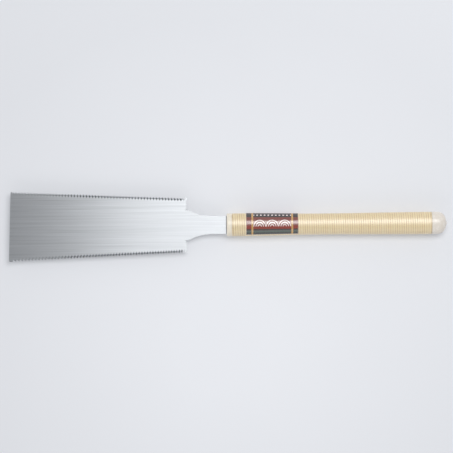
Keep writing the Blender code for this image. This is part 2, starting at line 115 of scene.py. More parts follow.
# Cane
CANE_LENGTHS = 4
CANE_TURNS = 22
CANE_SOLID_GAP = 0.5 * MM
CANE_PITCH = (CANE_END - CANE_START + CANE_SOLID_GAP) / (CANE_LENGTHS * CANE_TURNS + 1)
CANE_GAP = 0.22 * MM
CANE_THICKNESS = 1.2 * MM
CANE_EDGE = 0.3 * MM
CANE_EDGE_STEPS = 4
CANE_CROWN = 0.03 * MM
CANE_STEPS = 48
CANE_SHARP = math.radians(50)
CANE_UNEVEN = 0.02 * MM
CANE_UNEVEN_RATES = (2.7, 0.83)

# Label
LABEL_EDGE = math.radians(60)
LABEL_WRAP = math.radians(250)
LABEL_LIFT = 0.25 * MM
LABEL_SHEET = 0.16 * MM
LABEL_RIB = 0.035 * MM
LABEL_STEPS_ALONG = 184
LABEL_STEPS_ROUND = 96

# The label's print, in millimetres along it and round it from its free edge
PRINT_LENGTH = (LABEL_HIGH.x - LABEL_LOW.x) / MM
PRINT_ROUND = 61.0
PAPER_EDGE = 0.35
WAVE_WIDTH = 0.24 * PRINT_LENGTH
WAVE_SHIFT = -WAVE_WIDTH / 12
WAVE_FOOT = 12.2
WAVE_RING = WAVE_WIDTH / 6
WAVE_BARE = 0.6 * WAVE_RING
DOT_STEP = 5.0
DOT_RADIUS = 1.2
DOT_PLACE = 28.0
# Where each band begins, as a share of the way round
INK_BANDS = (
    (0.000, "302D2E"),
    (0.056, "33463A"),
    (0.108, "2E211B"),
    (0.148, "8E3526"),
    (0.215, "7E4036"),
    (0.395, "2E2320"),
    (0.550, "7E4036"),
    (0.930, "3F302C"),
)
# Where the pictured field and the gold rules lie, in white, as shares of the length
FIELD_STOPS = ((0.0, "000000"), (0.14, "FFFFFF"), (0.86, "000000"))
RULE_STOPS = (
    (0.0, "000000"),
    (0.10, "FFFFFF"),
    (0.135, "000000"),
    (0.865, "FFFFFF"),
    (0.90, "000000"),
)

# Finishes. Most of a noise lies between its two limits. The clear coats have a higher index than
# a real varnish, because their roughness spreads the gloss so wide that it would be lost.
NOISE_LOW = 0.3
NOISE_HIGH = 0.7
STEEL_STRETCH = 0.93
STEEL_ROUGH = (0.33, 0.39)
# A painted shade line on the neck at the handle's mouth, dark as a contact shadow.
MOUTH_SHADE_X = -0.5 * MM
MOUTH_SHADE_WIDTH = 1.1 * MM
CANE_COAT = 2.9
CANE_GLOSS = 0.54
CANE_ROUGH = (0.28, 0.42)
LACQUER_FILL = 0.75
LABEL_COAT = 2.0
LABEL_GLOSS = 0.27
INK_GLOSS = 0.0

# Heat tint on the teeth: spots behind every second crosscut tooth and behind every rip tooth
BLUED = "21252B"
BLUED_FULL = 1.8 * MM
BLUED_END = 3.6 * MM
BLUED_FADE = 100.0 * MM
BLUED_SCALLOP = 1.5 * MM
CROSSCUT_STEP = 2
RIP_STEP = 1

# Camera
FIELD = 610.6 * MM
CAMERA_HEIGHT = 3.0
CAMERA_AIM = (-0.4 * MM, -2.2 * MM)
CAMERA_ROLL = math.radians(-0.55)
SENSOR = 36.0

# Floor, room and lamps
FLOOR_SIZE = 12.0
# The floor's colour carries a painted pool of light: pale near a middle point, deeper towards its edges.
FLOOR_POOL_PALE = "EFF1F5"
FLOOR_POOL_DEEP = "E4E6EA"
FLOOR_POOL_MIDDLE = (0.0, -0.15, 0.0)
FLOOR_POOL_FULL_TO = 0.10
FLOOR_POOL_EDGE_FROM = 0.46
FLOOR_MOTTLE = 0.06
FLOOR_EVEN = 0.27
ROOM_TINT = "FAFBFF"
WALL_GLOW = 0.8
END_WALL_GLOW = 0.45
DIM_SIDE = (0.9, -0.44, 0.0)
DIM_FROM = 0.2
DIM_TO = 0.8
CEILING_GLOW = 0.36
WALL_TOP = 0.30
CEILING_FROM = 0.75
KEY_SIZE = (1.44, 1.0)
KEY_PLACE = (0.44, 0.68, 2.0)
KEY_WATTS = 26.4
FILL_SIZE = (2.4, 0.7)
FILL_PLACE = (-0.2, -1.5, 0.95)
FILL_WATTS = 4.0


def handle_radius(x):
    """Half the handle's width over the cane at x: a smooth waist between its two ends."""
    if x < WAIST_PLACE:
        end_width = FRONT_WIDTH
        share = (WAIST_PLACE - x) / (WAIST_PLACE - CANE_START)
    else:
        end_width = BUTT_WIDTH
        share = (x - WAIST_PLACE) / (CANE_END - WAIST_PLACE)
    share = min(share, 1.0)
    ease = share * share * (3 - 2 * share)
    return (WAIST_WIDTH + (end_width - WAIST_WIDTH) * ease) / 2


def tooth_line(heel_y, tip_x, tip_y):
    """The two ends of a line of tooth points, the way along it and the way into the blade."""
    heel = Vector((HEEL_X, heel_y, 0.0))
    tip = Vector((tip_x, tip_y, 0.0))
    along = (tip - heel).normalized()
    inward = along.cross(Vector((0.0, 0.0, 1.0)))
    if inward.y * heel_y > 0:
        inward.negate()
    return heel, tip, along, inward


def tooth_place(line, co):
    """How many small steps from the heel a tooth's point stands, or None for any other point."""
    heel, tip, along, inward = line
    run = (co - heel).dot(along)
    on_line = abs((co - heel).dot(inward)) < ON_THE_LINE
    among_teeth = PLAIN_EDGE < run < (tip - heel).length - PLAIN_EDGE
    return round(run / ON_THE_LINE) if on_line and among_teeth else None


def tooth_places(line, points):
    """The places of all the tooth points among some points of a mesh, in order from the heel."""
    return sorted({tooth_place(line, point.co) for point in points} - {None})


CROSSCUT_LINE = tooth_line(HEEL_WIDTH / 2, BLADE_LOW.x + TIP_SLANT, TIP_WIDTH / 2)
RIP_LINE = tooth_line(-HEEL_WIDTH / 2, BLADE_LOW.x, -TIP_WIDTH / 2)


# Materials

def linear(code):
    """An sRGB hex colour as linear red, green, blue and alpha."""
    shares = [int(code[i:i + 2], 16) / 255 for i in (0, 2, 4)]
    return [*(c / 12.92 if c <= 0.04045 else ((c + 0.055) / 1.055) ** 2.4 for c in shares), 1.0]


def add(tree, kind, inputs=None, stops=None, **settings):
    """Adds a node with its settings, its input values or links, and a ramp's stops."""
    made = tree.nodes.new(kind)
    for name, value in settings.items():
        setattr(made, name, value)
    for key, value in (inputs or {}).items():
        if isinstance(value, bpy.types.NodeSocket):
            tree.links.new(value, made.inputs[key])
        else:
            made.inputs[key].default_value = value
    for i, (place, colour) in enumerate(stops or []):
        ramp = made.color_ramp.elements
        stop = ramp[i] if i < 2 else ramp.new(place)
        stop.position = place
        stop.color = linear(colour)
    return made


def finish(name, **constants):
    """A material with one principled shader, and the constants set on the shader's own sockets."""
    made = bpy.data.materials.new(name)
    made.use_nodes = True
    tree = made.node_tree
    shader = tree.nodes["Principled BSDF"]
    for key, value in constants.items():
        shader.inputs[key.replace("_", " ")].default_value = value
    return made, tree, shader


def hardened_band(tree, place, line, step):
    """The share of blue-black tint that a flash of heat leaves along a line of hardened teeth."""
    heel, tip, along, inward = line
    from_heel = add(tree, "ShaderNodeVectorMath", {0: place, 1: heel}, operation="SUBTRACT")
    off_heel = from_heel.outputs[0]
    to_run = add(tree, "ShaderNodeVectorMath", {0: off_heel, 1: along}, operation="DOT_PRODUCT")
    run = to_run.outputs["Value"]
    depth = add(tree, "ShaderNodeVectorMath", {0: off_heel, 1: inward}, operation="DOT_PRODUCT")
    # The tint starts with the first tooth at the heel and dies away towards the tip.
    begun = add(
        tree, "ShaderNodeMapRange", {0: run, 1: PLAIN_EDGE, 2: 2 * PLAIN_EDGE, 3: 0.0, 4: 1.0}
    )
    length = (tip - heel).length
    on_teeth = add(
        tree,
        "ShaderNodeMapRange",
        {0: run, 1: length - BLUED_FADE, 2: length - PLAIN_EDGE, 3: begun.outputs[0], 4: 0.0},
    )
    # It reaches further in behind every heated tooth. The count of teeth is a curve of the run,
    # because a pitch that grows towards the tip makes it climb more slowly there.
    places = tooth_places(line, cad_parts["blade"].data.vertices)
    middle = len(places) // 2
    first, half, last = (places[i] * ON_THE_LINE for i in (0, middle, -1))
    slope = middle / (half - first)
    bend = ((len(places) - 1 - middle) / (last - half) - slope) / (last - first)
    from_first = add(tree, "ShaderNodeMath", {0: run, 1: first}, operation="SUBTRACT")
    from_half = add(tree, "ShaderNodeMath", {0: run, 1: half}, operation="SUBTRACT")
    rate = add(
        tree, "ShaderNodeMath", {0: from_half.outputs[0], 1: bend, 2: slope}, operation="MULTIPLY_ADD"
    )
    count = add(
        tree, "ShaderNodeMath", {0: rate.outputs[0], 1: from_first.outputs[0]}, operation="MULTIPLY"
    )
    phase = add(tree, "ShaderNodeMath", {0: count.outputs[0], 1: math.tau / step}, operation="MULTIPLY")
    swing = add(tree, "ShaderNodeMath", {0: phase.outputs[0]}, operation="COSINE")
    scalloped = add(
        tree,
        "ShaderNodeMath",
        {0: swing.outputs[0], 1: -BLUED_SCALLOP, 2: depth.outputs["Value"]},
        operation="MULTIPLY_ADD",
    )
    band = add(
        tree,
        "ShaderNodeMapRange",
        {0: scalloped.outputs[0], 1: BLUED_FULL, 2: BLUED_END, 3: on_teeth.outputs[0], 4: 0.0},
    )
    return band.outputs[0]


def brushed_saw_steel():
    """Cold-rolled carbon steel, ground and brushed lengthwise.

    The brush lines stretch reflections across the blade, so it shades in soft bands from tip to heel.
    """
    made, tree, shader = finish("brushed_saw_steel", Metallic=1.0, Anisotropic=STEEL_STRETCH)
    place = add(tree, "ShaderNodeTexCoord").outputs["Object"]
    # Real brush lines are about 0.1 mm apart. They are drawn at 0.7 mm and 3 mm, so that they show,
    # and run on for 90 mm and 250 mm.
    fine_size = (1 / (90 * MM), 1 / (0.7 * MM), 1 / (90 * MM))
    fine_place = add(tree, "ShaderNodeMapping", {"Vector": place, "Scale": fine_size})
    fine = add(
        tree, "ShaderNodeTexNoise", {"Vector": fine_place.outputs[0], "Scale": 1.0, "Detail": 2.0}
    )
    broad_size = (1 / (250 * MM), 1 / (3 * MM), 1 / (250 * MM))
    broad_place = add(tree, "ShaderNodeMapping", {"Vector": place, "Scale": broad_size})
    broad = add(
        tree, "ShaderNodeTexNoise", {"Vector": broad_place.outputs[0], "Scale": 1.0, "Detail": 3.0}
    )
    both = add(tree, "ShaderNodeMath", {0: fine.outputs[0], 1: broad.outputs[0]}, operation="ADD")
    lines = add(tree, "ShaderNodeMath", {0: both.outputs[0], 1: 0.5}, operation="MULTIPLY")
    colour = add(
        tree,
        "ShaderNodeValToRGB",
        {0: lines.outputs[0]},
        stops=[(NOISE_LOW, "A9ACAF"), (NOISE_HIGH, "C7CACD")],
    )
    # A painted shade line, dark as a contact shadow, on the neck where it enters the handle.
    along = add(tree, "ShaderNodeSeparateXYZ", {0: place}).outputs[0]
    from_line = add(tree, "ShaderNodeMath", {0: along, 1: MOUTH_SHADE_X}, operation="SUBTRACT")
    off_line = add(tree, "ShaderNodeMath", {0: from_line.outputs[0]}, operation="ABSOLUTE")
    mouth_shade = add(
        tree,
        "ShaderNodeMapRange",
        {0: off_line.outputs[0], 1: MOUTH_SHADE_WIDTH / 4, 2: MOUTH_SHADE_WIDTH / 2, 3: 1.0, 4: 0.0},
    )
    mouth_shaded = add(
        tree,
        "ShaderNodeMix",
        {0: mouth_shade.outputs[0], 6: colour.outputs[0], 7: linear("5A5C5E")},
        data_type="RGBA",
    )
    crosscut_band = hardened_band(tree, place, CROSSCUT_LINE, CROSSCUT_STEP)
    rip_band = hardened_band(tree, place, RIP_LINE, RIP_STEP)
    blued = add(tree, "ShaderNodeMath", {0: crosscut_band, 1: rip_band}, operation="MAXIMUM")
    tinted = add(
        tree,
        "ShaderNodeMix",
        {0: blued.outputs[0], 6: mouth_shaded.outputs[2], 7: linear(BLUED)},
        data_type="RGBA",
    )
    low, high = STEEL_ROUGH
    rough = add(
        tree, "ShaderNodeMapRange", {0: lines.outputs[0], 1: NOISE_LOW, 2: NOISE_HIGH, 3: low, 4: high}
    )
    bump = add(
        tree, "ShaderNodeBump", {"Strength": 0.12, "Distance": 0.02 * MM, "Height": fine.outputs[0]}
    )
    tangent = add(tree, "ShaderNodeTangent", direction_type="UV_MAP", uv_map="UVMap")
    tree.links.new(tinted.outputs[2], shader.inputs["Base Color"])
    tree.links.new(rough.outputs[0], shader.inputs["Roughness"])
    tree.links.new(bump.outputs[0], shader.inputs["Normal"])
    tree.links.new(tangent.outputs[0], shader.inputs["Tangent"])
    return made


def lacquered_rattan():
    """Split rattan, wound skin side out and lacquered.

    Pale straw with fine fibres along the strip. Neighbouring turns differ a little in tone, and the
    glossy skin has one long soft highlight broken by the grooves.
    """
    made, tree, shader = finish(
        "lacquered_rattan", IOR=1.6, Coat_Weight=1.0, Coat_IOR=CANE_COAT, Coat_Roughness=CANE_GLOSS
    )
    turn_count = add(tree, "ShaderNodeAttribute", attribute_name="turn")
    place = add(tree, "ShaderNodeTexCoord").outputs["Object"]
    # The tone changes along the strip over about 120 mm, a turn and a quarter of it.
    tone_place = add(
        tree, "ShaderNodeMath", {0: turn_count.outputs["Fac"], 1: 1 / 1.25}, operation="MULTIPLY"
    )
    tone = add(
        tree,
        "ShaderNodeTexNoise",
        {"W": tone_place.outputs[0], "Scale": 1.0, "Detail": 2.0},
        noise_dimensions="1D",
    )
    # Fibres are 0.25 mm wide and run round the handle with the strip, for about 12 mm.
    fibre_size = (1 / (0.25 * MM), 1 / (12 * MM), 1 / (12 * MM))
    fibre_place = add(tree, "ShaderNodeMapping", {"Vector": place, "Scale": fibre_size})
    fibre = add(
        tree, "ShaderNodeTexNoise", {"Vector": fibre_place.outputs[0], "Scale": 1.0, "Detail": 2.0}
    )
    mixed = add(tree, "ShaderNodeMix", {"Factor": 0.35, 2: tone.outputs[0], 3: fibre.outputs[0]})
    colour = add(
        tree,
        "ShaderNodeValToRGB",
        {0: mixed.outputs[0]},
        stops=[(0.25, "E9CD90"), (0.50, "ECD49A"), (0.75, "EFDBA4")],
    )
    # Towards each strip's edges the colour turns a darker amber: partly lacquer pooled in the grooves,
    # partly painted shade in the grooves between turns.
    across = add(tree, "ShaderNodeAttribute", attribute_name="across")
    groove_lacquer_and_shade = add(
        tree, "ShaderNodeMapRange", {0: across.outputs["Fac"], 1: 0.6, 2: 1.0, 3: 0.0, 4: 0.55}
    )
    lacquered_and_groove_shaded = add(
        tree,
        "ShaderNodeMix",
        {0: groove_lacquer_and_shade.outputs[0], 6: colour.outputs[0], 7: linear("C08A4C")},
        data_type="RGBA",
    )
    low, high = CANE_ROUGH
    rough = add(
        tree, "ShaderNodeMapRange", {0: fibre.outputs[0], 1: NOISE_LOW, 2: NOISE_HIGH, 3: low, 4: high}
    )
    bump = add(
        tree, "ShaderNodeBump", {"Strength": 0.06, "Distance": 0.03 * MM, "Height": fibre.outputs[0]}
    )
    # The lacquer half fills the grooves, so its gloss follows the handle more than the strip.
    spot = add(tree, "ShaderNodeSeparateXYZ", {0: place})
    flatter = add(tree, "ShaderNodeMath", {0: spot.outputs[2], 1: 1 / OVAL**2}, operation="MULTIPLY")
    outward = add(tree, "ShaderNodeCombineXYZ", {1: spot.outputs[1], 2: flatter.outputs[0]})
    facing = add(
        tree,
        "ShaderNodeVectorTransform",
        {0: outward.outputs[0]},
        vector_type="NORMAL",
        convert_from="OBJECT",
        convert_to="WORLD",
    )
    strip = add(tree, "ShaderNodeNewGeometry")
    film = add(
        tree,
        "ShaderNodeMix",
        {0: LACQUER_FILL, 4: strip.outputs["Normal"], 5: facing.outputs[0]},
        data_type="VECTOR",
    )
    film_facing = add(tree, "ShaderNodeVectorMath", {0: film.outputs[1]}, operation="NORMALIZE")
    tree.links.new(film_facing.outputs[0], shader.inputs["Coat Normal"])
    tree.links.new(lacquered_and_groove_shaded.outputs[2], shader.inputs["Base Color"])
    tree.links.new(rough.outputs[0], shader.inputs["Roughness"])
    tree.links.new(bump.outputs[0], shader.inputs["Normal"])
    return made


def moulded_abs(name, pale, deep, roughness):
    """ABS, injection-moulded with a satin or a gloss skin from its mould.

    One even colour with faint flow marks, a soft highlight and a very fine grain.
    """
    made, tree, shader = finish(name, IOR=1.54)
    place = add(tree, "ShaderNodeTexCoord").outputs["Object"]
    # Flow marks are about 6 mm across, and the mould's grain 0.3 mm.
    flow = add(tree, "ShaderNodeTexNoise", {"Vector": place, "Scale": 1 / (6 * MM), "Detail": 2.0})
    grain = add(tree, "ShaderNodeTexNoise", {"Vector": place, "Scale": 1 / (0.3 * MM), "Detail": 1.0})
    colour = add(tree, "ShaderNodeValToRGB", {0: flow.outputs[0]}, stops=[(0.35, deep), (0.65, pale)])
    low, high = roughness
    rough = add(
        tree, "ShaderNodeMapRange", {0: flow.outputs[0], 1: NOISE_LOW, 2: NOISE_HIGH, 3: low, 4: high}
    )
    bump = add(
        tree, "ShaderNodeBump", {"Strength": 0.05, "Distance": 0.02 * MM, "Height": grain.outputs[0]}
    )
    tree.links.new(colour.outputs[0], shader.inputs["Base Color"])
    tree.links.new(rough.outputs[0], shader.inputs["Roughness"])
    tree.links.new(bump.outputs[0], shader.inputs["Normal"])
    return made


def printed_paper():
    """Coated paper, printed in flat inks and varnished.

    Bands of red, green and near black with a row of pale wave scallops, a row of dots and gold
    rules, under a clear gloss that carries a white highlight.
    """
    made, tree, shader = finish(
        "printed_paper",
        IOR=1.45,
        Specular_IOR_Level=INK_GLOSS,
        Roughness=0.3,
        Coat_Weight=1.0,
        Coat_IOR=LABEL_COAT,
        Coat_Roughness=LABEL_GLOSS,
    )
    spot = add(tree, "ShaderNodeTexCoord").outputs["UV"]
    shares = add(tree, "ShaderNodeSeparateXYZ", {0: spot}).outputs
    to_along = add(tree, "ShaderNodeMath", {0: shares[0], 1: PRINT_LENGTH}, operation="MULTIPLY")
    along = to_along.outputs[0]
    to_around = add(tree, "ShaderNodeMath", {0: shares[1], 1: PRINT_ROUND}, operation="MULTIPLY")
    around = to_around.outputs[0]
    bands = add(tree, "ShaderNodeValToRGB", {0: shares[1]}, stops=INK_BANDS)
    field = add(tree, "ShaderNodeValToRGB", {0: shares[0]}, stops=FIELD_STOPS)
    rules = add(tree, "ShaderNodeValToRGB", {0: shares[0]}, stops=RULE_STOPS)
    for flat_ink in (bands, field, rules):
        flat_ink.color_ramp.interpolation = "CONSTANT"

    # Wave scallops: rings about a foot, which repeats along the label.
    shifted = add(tree, "ShaderNodeMath", {0: along, 1: WAVE_SHIFT}, operation="ADD")
    from_crest = add(
        tree,
        "ShaderNodeMath",
        {0: shifted.outputs[0], 1: WAVE_WIDTH / 2, 2: -WAVE_WIDTH / 2},
        operation="WRAP",
    )
    rise = add(tree, "ShaderNodeMath", {0: around, 1: WAVE_FOOT}, operation="SUBTRACT")
    from_foot = add(tree, "ShaderNodeCombineXYZ", {0: from_crest.outputs[0], 1: rise.outputs[0]})
    reach = add(tree, "ShaderNodeVectorMath", {0: from_foot.outputs[0]}, operation="LENGTH")
    in_ring = add(
        tree, "ShaderNodeMath", {0: reach.outputs["Value"], 1: WAVE_RING}, operation="MODULO"
    )
    stroke = add(
        tree, "ShaderNodeMath", {0: in_ring.outputs[0], 1: WAVE_BARE}, operation="GREATER_THAN"
    )
    inside = add(
        tree, "ShaderNodeMath", {0: reach.outputs["Value"], 1: WAVE_WIDTH / 2}, operation="LESS_THAN"
    )
    above = add(tree, "ShaderNodeMath", {0: rise.outputs[0], 1: 0.0}, operation="GREATER_THAN")
    scallop = add(
        tree, "ShaderNodeMath", {0: inside.outputs[0], 1: above.outputs[0]}, operation="MULTIPLY"
    )
    wave = add(
        tree, "ShaderNodeMath", {0: scallop.outputs[0], 1: stroke.outputs[0]}, operation="MULTIPLY"
    )

    dot_along = add(
        tree, "ShaderNodeMath", {0: along, 1: DOT_STEP / 2, 2: -DOT_STEP / 2}, operation="WRAP"
    )
    dot_rise = add(tree, "ShaderNodeMath", {0: around, 1: DOT_PLACE}, operation="SUBTRACT")
    from_dot = add(tree, "ShaderNodeCombineXYZ", {0: dot_along.outputs[0], 1: dot_rise.outputs[0]})
    dot_reach = add(tree, "ShaderNodeVectorMath", {0: from_dot.outputs[0]}, operation="LENGTH")
    dot = add(
        tree, "ShaderNodeMath", {0: dot_reach.outputs["Value"], 1: DOT_RADIUS}, operation="LESS_THAN"
    )
    drawn = add(tree, "ShaderNodeMath", {0: wave.outputs[0], 1: dot.outputs[0]}, operation="MAXIMUM")
    marks = add(tree, "ShaderNodeMath", {0: drawn.outputs[0], 1: field.outputs[0]}, operation="MULTIPLY")

    marked = add(
        tree,
        "ShaderNodeMix",
        {0: marks.outputs[0], 6: bands.outputs[0], 7: linear("EFE0DC")},
        data_type="RGBA",
    )
    ruled = add(
        tree,
        "ShaderNodeMix",
        {0: rules.outputs[0], 6: marked.outputs[2], 7: linear("C79A5A")},
        data_type="RGBA",
    )
    # The cut edge shows a hair of white paper.
    from_end = add(tree, "ShaderNodeMath", {0: along, 1: PRINT_LENGTH / 2}, operation="PINGPONG")
    from_side = add(tree, "ShaderNodeMath", {0: around, 1: PRINT_ROUND / 2}, operation="PINGPONG")
    from_edge = add(
        tree, "ShaderNodeMath", {0: from_end.outputs[0], 1: from_side.outputs[0]}, operation="MINIMUM"
    )
    bare = add(tree, "ShaderNodeMath", {0: from_edge.outputs[0], 1: PAPER_EDGE}, operation="LESS_THAN")
    edged = add(
        tree,
        "ShaderNodeMix",
        {0: bare.outputs[0], 6: ruled.outputs[2], 7: linear("D9C3B8")},
        data_type="RGBA",
    )
    # Ink lies unevenly at about 1.5 mm.
    place = add(tree, "ShaderNodeTexCoord").outputs["Object"]
    mottle = add(tree, "ShaderNodeTexNoise", {"Vector": place, "Scale": 1 / (1.5 * MM), "Detail": 3.0})
    shade = add(
        tree, "ShaderNodeMapRange", {0: mottle.outputs[0], 1: NOISE_LOW, 2: NOISE_HIGH, 3: 0.9, 4: 1.08}
    )
    inked = add(
        tree,
        "ShaderNodeMix",
        {0: 1.0, 6: edged.outputs[2], 7: shade.outputs[0]},
        data_type="RGBA",
        blend_type="MULTIPLY",
    )
    bump = add(
        tree, "ShaderNodeBump", {"Strength": 0.06, "Distance": 0.02 * MM, "Height": mottle.outputs[0]}
    )
    tree.links.new(inked.outputs[2], shader.inputs["Base Color"])
    tree.links.new(bump.outputs[0], shader.inputs["Normal"])
    return made


def planed_cypress():
    """Straight-grained cypress, planed and left bare: pale tan with brown growth lines along it."""
    made, tree, shader = finish("planed_cypress", Roughness=0.6)
    place = add(tree, "ShaderNodeTexCoord").outputs["Object"]
    # Growth lines are 2 mm apart across the handle, 4 mm through it, and run 150 mm along it.
    grain_size = (1 / (150 * MM), 1 / (2 * MM), 1 / (4 * MM))
    grain_place = add(tree, "ShaderNodeMapping", {"Vector": place, "Scale": grain_size})
    grain = add(
        tree, "ShaderNodeTexNoise", {"Vector": grain_place.outputs[0], "Scale": 1.0, "Detail": 4.0}
    )
    colour = add(
        tree,
        "ShaderNodeValToRGB",
        {0: grain.outputs[0]},
        stops=[(0.35, "A98455"), (0.55, "C9A878"), (0.75, "D8BC90")],
    )
    bump = add(
        tree, "ShaderNodeBump", {"Strength": 0.2, "Distance": 0.05 * MM, "Height": grain.outputs[0]}
    )
    tree.links.new(colour.outputs[0], shader.inputs["Base Color"])
    tree.links.new(bump.outputs[0], shader.inputs["Normal"])
    return made


def plain_metal(name, pale, deep, roughness):
    """Pressed, plated, drawn or filed metal: one colour, clouded at about 2 mm by heat or handling."""
    made, tree, shader = finish(name, Metallic=1.0)
    place = add(tree, "ShaderNodeTexCoord").outputs["Object"]
    cloud = add(tree, "ShaderNodeTexNoise", {"Vector": place, "Scale": 1 / (2 * MM), "Detail": 3.0})
    colour = add(tree, "ShaderNodeValToRGB", {0: cloud.outputs[0]}, stops=[(0.35, deep), (0.65, pale)])
    low, high = roughness
    rough = add(
        tree, "ShaderNodeMapRange", {0: cloud.outputs[0], 1: NOISE_LOW, 2: NOISE_HIGH, 3: low, 4: high}
    )
    tree.links.new(colour.outputs[0], shader.inputs["Base Color"])
    tree.links.new(rough.outputs[0], shader.inputs["Roughness"])
    return made


# Modelling

def begin(name):
    """Names the primitive that was just added and opens it in edit mode."""
    piece = bpy.context.object
    piece.name = name
    piece.data.name = name
    bpy.ops.object.mode_set(mode="EDIT")
    return piece


def end(piece, sharp=SHARP):
    """Closes edit mode, puts the piece's place into its mesh and shades it smooth up to an angle."""
    bpy.ops.object.mode_set(mode="OBJECT")
    bpy.ops.object.transform_apply(location=True, rotation=True, scale=True)
    bpy.ops.object.shade_smooth_by_angle(angle=sharp)
    return piece


def pick(piece, test):
    """Selects, in edit mode, the points that a test of their place passes."""
    bpy.ops.mesh.select_mode(type="VERT")
    bpy.ops.mesh.select_all(action="DESELECT")
    shape = bmesh.from_edit_mesh(piece.data)
    for point in shape.verts:
        point.select_set(test(point.co))
    shape.select_flush_mode()
    bmesh.update_edit_mesh(piece.data)


def deselect():
    """Leaves nothing selected, so that the next operator acts on new work alone."""
    bpy.ops.object.select_all(action="DESELECT")


def apply(piece, kind, **settings):
    """Adds a modifier and applies it."""
    bpy.context.view_layer.objects.active = piece
    modifier = piece.modifiers.new(kind.lower(), kind)
    for name, value in settings.items():
        setattr(modifier, name, value)
    bpy.ops.object.modifier_apply(modifier=modifier.name)


def cut(piece, cutter):
    """Takes a closed shape out of a piece."""
    apply(piece, "BOOLEAN", operation="DIFFERENCE", solver="EXACT", object=cutter)
    bpy.data.objects.remove(cutter)


def arc(centre, radius, start, stop, steps):
    """Points on an arc in the plane of a profile."""
    angles = [start + (stop - start) * i / steps for i in range(steps + 1)]
    return [(centre[0] + radius * math.cos(a), centre[1] + radius * math.sin(a)) for a in angles]


def turn(name, profile):
    """A profile of (x, radius) points, drawn point by point and spun round the handle's oval."""
    deselect()
    x, radius = profile[0]
    bpy.ops.mesh.primitive_plane_add(size=MM, location=(x, 0.0, radius))
    piece = begin(name)
    bpy.ops.mesh.merge(type="CENTER")
    for next_x, next_radius in profile[1:]:
        step = (next_x - x, 0.0, next_radius - radius)
        bpy.ops.mesh.extrude_region_move(TRANSFORM_OT_translate={"value": step})
        x, radius = next_x, next_radius
    bpy.ops.mesh.select_all(action="SELECT")
    bpy.ops.mesh.spin(steps=CAP_SIDES, angle=math.tau, center=(0.0, 0.0, 0.0), axis=(1.0, 0.0, 0.0))
    bpy.ops.mesh.select_all(action="SELECT")
    bpy.ops.mesh.remove_doubles(threshold=MERGE)
    bpy.ops.mesh.normals_make_consistent(inside=False)
    bpy.ops.transform.resize(value=(1.0, 1.0, OVAL), center_override=(0.0, 0.0, 0.0))
    return end(piece)


def mouth_cap(material):
    """The moulded cap at the handle's mouth, with the blade's slot and the hole for a screwdriver."""
    radius = CAP_HIGH.y
    length = CAP_HIGH.x
    bore = radius - CAP_WALL
    front_edge = (FRONT_EDGE, radius - FRONT_EDGE)
    rim = (length - RIM_ROUND, radius - RIM_ROUND)
    profile = [(0.0, 0.0)]
    profile += arc(front_edge, FRONT_EDGE, math.pi, QUARTER, FRONT_EDGE_STEPS)
    profile += arc(rim, RIM_ROUND, QUARTER, 0.0, RIM_STEPS)
    profile += [(length, bore), (FRONT_WALL, bore), (FRONT_WALL, 0.0)]
    piece = turn("mouth_cap", profile)
    deselect()
    bpy.ops.mesh.primitive_cube_add(
        size=1.0, scale=(4 * FRONT_WALL, BLADE_SLOT_WIDTH, BLADE_SLOT_HEIGHT)
    )
    cut(piece, bpy.context.object)
    lock_x = (SCREW_LOW.x + SCREW_HIGH.x) / 2
    bpy.ops.mesh.primitive_cylinder_add(
        vertices=CAP_SIDES // 2, radius=DRIVER_HOLE_RADIUS, depth=radius, location=(lock_x, 0.0, -radius)
    )
    cut(piece, bpy.context.object)
    piece.select_set(True)
    bpy.ops.object.shade_smooth_by_angle(angle=SHARP)
    piece.data.materials.append(material)
    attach(piece, "handle")
    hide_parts("front_cap")


def butt_end(material):
    """The domed cap on the butt, hollow to its wall."""
    radius = BUTT_HIGH.y
    length = BUTT_HIGH.x
    corner = (length - BUTT_CROWN - BUTT_CORNER, radius - BUTT_CORNER)
    crown_radius = (corner[1] ** 2 + BUTT_CROWN**2) / (2 * BUTT_CROWN)
    crown_swing = math.asin(corner[1] / crown_radius)
    crown = (length - crown_radius, 0.0)
    rim = (BUTT_LOW.x + RIM_ROUND, radius - RIM_ROUND)
    profile = arc(crown, crown_radius, 0.0, crown_swing, BUTT_CROWN_STEPS)[:-1]
    profile += arc(corner, BUTT_CORNER, 0.0, QUARTER, BUTT_CORNER_STEPS)
    profile += arc(rim, RIM_ROUND, QUARTER, math.pi, RIM_STEPS)
    profile += arc(corner, BUTT_CORNER - CAP_WALL, QUARTER, 0.0, BUTT_CORNER_STEPS // 2)
    profile += [(profile[-1][0], 0.0)]
    piece = turn("butt_end", profile)
    piece.data.materials.append(material)
    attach(piece, "handle")
    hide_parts("butt_cap")


